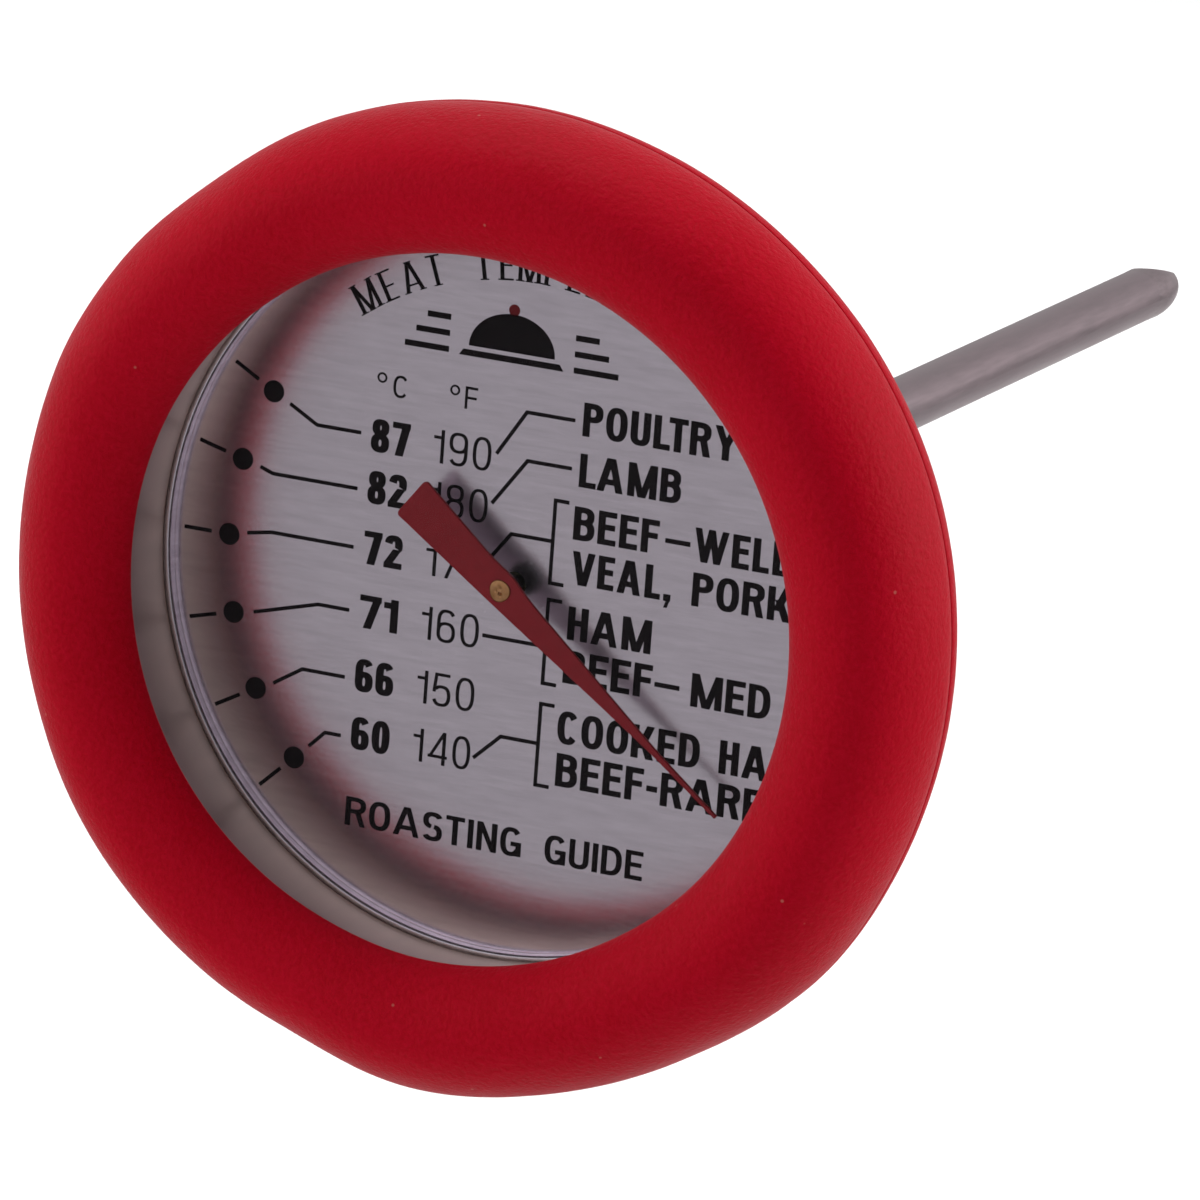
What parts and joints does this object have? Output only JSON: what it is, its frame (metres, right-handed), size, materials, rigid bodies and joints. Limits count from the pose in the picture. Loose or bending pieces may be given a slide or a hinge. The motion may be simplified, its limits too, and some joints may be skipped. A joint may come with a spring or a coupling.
{
  "type": "dial meat thermometer",
  "caption": "Leave-in meat thermometer: round steel head with a thick silicone ring, printed dial and turning pointer, on a thin pointed stem.",
  "frame": {"origin": "on the stem's axis where the exposed stem leaves the back of the head", "axes": "+Y along the stem to its tip, +Z to 12 o'clock on the dial, +X to 3 o'clock; the dial faces -Y"},
  "size_m": [0.07, 0.1418, 0.07],
  "materials": {
    "red_silicone": "fine satin moulded silicone",
    "case_steel": "satin",
    "wall_steel": "satin, drawn along the wall",
    "stem_steel": "fine ground satin",
    "spindle_steel": "drawn wire",
    "dial_aluminium": "satin with black print",
    "lens_glass": "clear polished",
    "gasket_silicone": "matte",
    "guide_plastic": "matte",
    "bimetal": "rolled strip",
    "rivet_brass": "peened",
    "pointer_red": "satin paint"
  },
  "bodies": {
    "root": {"silicone_ring": "red_silicone", "case_cup": "case_steel", "bezel_ring": "case_steel", "lens": "lens_glass", "lens_gasket": "gasket_silicone", "wall_ring": "wall_steel", "dial_plate": "dial_aluminium", "stem_ferrule": "case_steel", "ferrule_washer": "gasket_silicone", "ferrule_nut": "case_steel", "stem_tube": "stem_steel", "stem_tip": "stem_steel", "upper_guide": "guide_plastic", "middle_guide": "guide_plastic", "lower_guide": "guide_plastic", "helix_anchor": "spindle_steel", "bimetal_helix": "bimetal"},
    "pointer_set": {"helix_collar": "rivet_brass", "spindle": "spindle_steel", "pointer_hub": "pointer_red", "pointer": "pointer_red", "pointer_rivet": "rivet_brass"}
  },
  "joints": [
    {"name": "pointer_turn", "type": "hinge", "parent": "root", "child": "pointer_set", "pos_m": [0, 0, 0], "axis": [0, 1, 0], "range_deg": [-58, 203], "stiffness_Nm_per_rad": 0.0003, "deforming": ["bimetal_helix"]}
  ]
}
